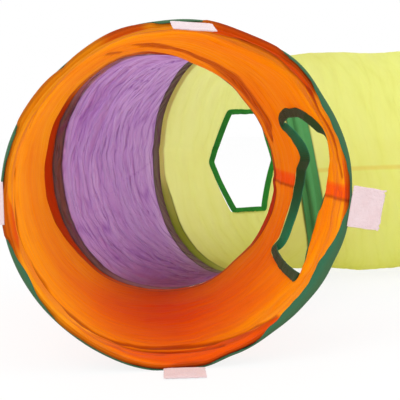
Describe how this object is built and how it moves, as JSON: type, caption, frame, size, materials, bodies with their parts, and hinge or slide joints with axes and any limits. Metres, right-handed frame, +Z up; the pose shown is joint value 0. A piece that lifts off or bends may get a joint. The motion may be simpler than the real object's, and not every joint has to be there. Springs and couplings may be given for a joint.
{
  "type": "collapsible pet play tunnel",
  "caption": "Right-angled fabric play tunnel for a cat, on sprung wire hoops, with a round side window, a six-sided corner window and hook-and-loop tabs at both mouths.",
  "frame": {"origin": "middle of the tunnel's footprint, on the floor that it stands on", "axes": "+Z up; +Y from the front mouth along the first arm; +X along the second arm towards the end mouth"},
  "size_m": [0.6468, 0.5648, 0.2497],
  "materials": {
    "orange_nylon": "thin woven nylon, slightly translucent",
    "purple_nylon": "thin woven nylon, slightly translucent",
    "yellow_nylon": "thin woven nylon, slightly translucent",
    "green_tape": "woven binding tape",
    "hook_and_loop": "brushed loop pile",
    "spring_steel": "bright drawn wire",
    "crimp_steel": "dull plated tube"
  },
  "bodies": {
    "mitre": {"mitre_hoop_wire": "spring_steel", "mitre_hoop_ferrule": "crimp_steel", "mitre_hoop_casing": "green_tape", "purple_elbow_panel": "purple_nylon", "yellow_elbow_panel": "yellow_nylon", "corner_window_binding": "green_tape"},
    "inlet": {"inlet_hoop_wire": "spring_steel", "inlet_hoop_ferrule": "crimp_steel", "inlet_hoop_casing": "green_tape", "orange_arm_panel": "orange_nylon", "side_window_binding": "green_tape"},
    "front": {"front_hoop_wire": "spring_steel", "front_hoop_ferrule": "crimp_steel", "front_hoop_casing": "green_tape"},
    "outlet": {"outlet_hoop_wire": "spring_steel", "outlet_hoop_ferrule": "crimp_steel", "outlet_hoop_casing": "green_tape", "yellow_arm_panel": "yellow_nylon"},
    "end": {"end_hoop_wire": "spring_steel", "end_hoop_ferrule": "crimp_steel", "end_hoop_casing": "green_tape"},
    "front_tab_top": {"front_tab_top": "hook_and_loop"},
    "front_tab_right": {"front_tab_right": "hook_and_loop"},
    "front_tab_bottom": {"front_tab_bottom": "hook_and_loop"},
    "front_tab_left": {"front_tab_left": "hook_and_loop"},
    "end_tab_top": {"end_tab_top": "hook_and_loop"},
    "end_tab_right": {"end_tab_right": "hook_and_loop"},
    "end_tab_bottom": {"end_tab_bottom": "hook_and_loop"},
    "end_tab_left": {"end_tab_left": "hook_and_loop"}
  },
  "joints": [
    {"name": "inlet_fold", "type": "hinge", "parent": "mitre", "child": "inlet", "pos_m": [-0.03935, -0.00288, 0], "axis": [0, 0, -1], "range_deg": [0, 38], "deforming": ["purple_elbow_panel"]},
    {"name": "front_travel", "type": "slide", "parent": "inlet", "child": "front", "axis": [0, 1, 0], "range_m": [0, 0.205], "deforming": ["orange_arm_panel", "side_window_binding"]},
    {"name": "outlet_fold", "type": "hinge", "parent": "mitre", "child": "outlet", "pos_m": [-0.03342, 0.00435, 0], "axis": [0, 0, 1], "range_deg": [0, 13], "deforming": ["yellow_elbow_panel", "corner_window_binding"]},
    {"name": "end_travel", "type": "slide", "parent": "outlet", "child": "end", "axis": [-1, 0, 0], "range_m": [0, 0.235], "deforming": ["yellow_arm_panel"]},
    {"name": "front_tab_top_fold", "type": "hinge", "parent": "front", "child": "front_tab_top", "pos_m": [-0.16567, -0.25736, 0.24793], "axis": [-0.9969, 0, 0.0785], "range_deg": [-56, 139]},
    {"name": "front_tab_right_fold", "type": "hinge", "parent": "front", "child": "front_tab_right", "pos_m": [-0.05206, -0.25736, 0.11491], "axis": [0.0785, 0, 0.9969], "range_deg": [-175, 20]},
    {"name": "front_tab_bottom_fold", "type": "hinge", "parent": "front", "child": "front_tab_bottom", "pos_m": [-0.17538, -0.25736, 0.00092], "axis": [1, 0, 0], "range_deg": [-85, 0]},
    {"name": "front_tab_left_fold", "type": "hinge", "parent": "front", "child": "front_tab_left", "pos_m": [-0.29908, -0.25736, 0.12462], "axis": [0, 0, -1], "range_deg": [-190, 5]},
    {"name": "end_tab_top_fold", "type": "hinge", "parent": "end", "child": "end_tab_top", "pos_m": [0.29838, 0.13393, 0.24832], "axis": [0, -1, 0], "range_deg": [-65, 130]},
    {"name": "end_tab_right_fold", "type": "hinge", "parent": "end", "child": "end_tab_right", "pos_m": [0.29838, 0.01023, 0.12462], "axis": [0, 0, -1], "range_deg": [-185, 10]},
    {"name": "end_tab_bottom_fold", "type": "hinge", "parent": "end", "child": "end_tab_bottom", "pos_m": [0.29838, 0.13393, 0.00092], "axis": [0, 1, 0], "range_deg": [-85, 0]},
    {"name": "end_tab_left_fold", "type": "hinge", "parent": "end", "child": "end_tab_left", "pos_m": [0.29838, 0.25764, 0.12462], "axis": [0, 0, 1], "range_deg": [-165, 30]}
  ]
}
